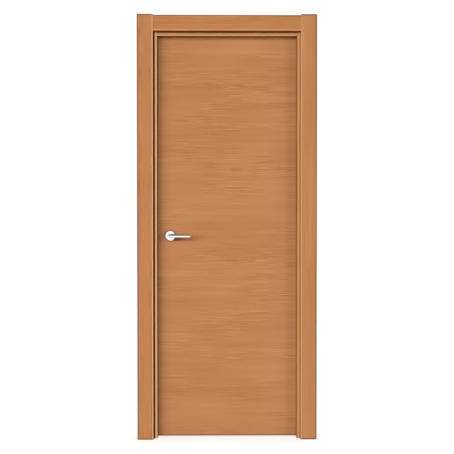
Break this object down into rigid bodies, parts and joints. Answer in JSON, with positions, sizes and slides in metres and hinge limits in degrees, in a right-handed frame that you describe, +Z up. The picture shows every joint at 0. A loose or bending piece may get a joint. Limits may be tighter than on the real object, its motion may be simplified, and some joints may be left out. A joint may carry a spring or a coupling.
{
  "type": "interior door",
  "caption": "Flush wooden interior door leaf hung on lift-off hinges in a rebated frame with flat casings, with a lever handle on round roses",
  "frame": {"origin": "on the outer face of the hinge jamb, at floor level and at the front edge of the jamb", "axes": "+X out of the hinge jamb, to the right as seen from the stop side; +Y through the wall, the way the leaf opens; +Z up"},
  "size_m": [0.9156, 0.15, 2.1335],
  "materials": {
    "frame_wood": "satin varnished veneer, grain along each board",
    "leaf_wood": "satin varnished veneer with fine flecked grain across the leaf",
    "edge_wood": "satin varnished solid wood",
    "core_board": "raw particle board",
    "seal_rubber": "soft brown rubber",
    "handle_metal": "polished plating",
    "satin_metal": "satin plated steel",
    "ring_brass": "plain turned brass",
    "plated_steel": "plain plated steel"
  },
  "bodies": {
    "frame": {"jamb_hinge": "frame_wood", "jamb_latch": "frame_wood", "head_jamb": "frame_wood", "casing_front_hinge": "frame_wood", "casing_front_latch": "frame_wood", "casing_front_head": "frame_wood", "casing_back_hinge": "frame_wood", "casing_back_latch": "frame_wood", "casing_back_head": "frame_wood", "seal_hinge": "seal_rubber", "seal_latch": "seal_rubber", "seal_head": "seal_rubber", "strike_plate": "plated_steel", "hinge_frame_bottom": "satin_metal", "hinge_frame_middle": "satin_metal", "hinge_frame_top": "satin_metal", "hinge_ring_bottom": "ring_brass", "hinge_ring_middle": "ring_brass", "hinge_ring_top": "ring_brass"},
    "leaf": {"leaf_face_front": "leaf_wood", "leaf_face_back": "leaf_wood", "stile_hinge": "edge_wood", "stile_latch": "edge_wood", "rail_top": "edge_wood", "rail_bottom": "edge_wood", "leaf_core": "core_board", "latch_case": "plated_steel", "latch_bolt": "plated_steel", "rose_front": "handle_metal", "rose_back": "handle_metal", "hinge_leaf_bottom": "satin_metal", "hinge_leaf_middle": "satin_metal", "hinge_leaf_top": "satin_metal"},
    "handle": {"lever_front": "handle_metal", "lever_back": "handle_metal", "spindle": "plated_steel"}
  },
  "joints": [
    {"name": "leaf_swing", "type": "hinge", "parent": "frame", "child": "leaf", "pos_m": [-0.0245, 0.079, 0], "axis": [0, 0, -1], "range_deg": [0, 150]},
    {"name": "lever_turn", "type": "hinge", "parent": "leaf", "child": "handle", "pos_m": [-0.677, 0.05, 1.021], "axis": [0, 1, 0], "range_deg": [0, 35], "stiffness_Nm_per_rad": 1, "springref_deg": -28.65}
  ]
}
